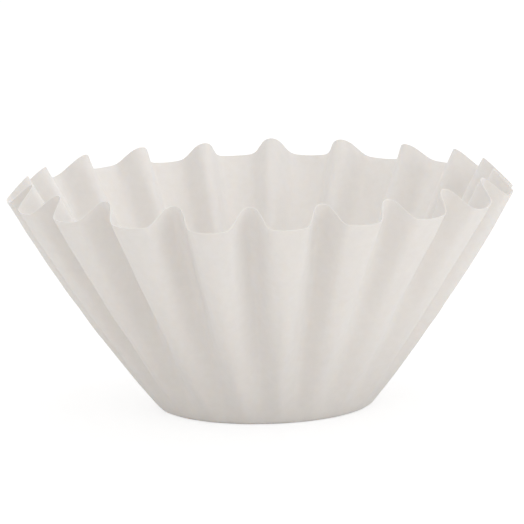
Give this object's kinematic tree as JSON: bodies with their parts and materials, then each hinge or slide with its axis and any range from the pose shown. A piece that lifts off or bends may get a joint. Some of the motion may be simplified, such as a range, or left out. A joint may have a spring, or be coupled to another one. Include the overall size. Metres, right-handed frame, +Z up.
{
  "type": "paper coffee filter",
  "caption": "Basket-shaped paper coffee filter: a round sheet of white paper pressed to a flat base and a flared, fluted wall that holds ground coffee",
  "frame": {"origin": "centre of the flat base's underside, where the filter's upright axis meets the surface it stands on", "axes": "+Z points up along the filter's axis, from the base to the open rim; -Y is the front, with one lobe of the fluted wall centred on it; +X points to the right seen from the front"},
  "size_m": [0.1492, 0.1492, 0.069],
  "materials": {
    "paper": "soft matt bleached filter paper, slightly warm white, thin enough to let some light through"
  },
  "bodies": {
    "root": {"coffee_filter": "paper"}
  },
  "joints": []
}
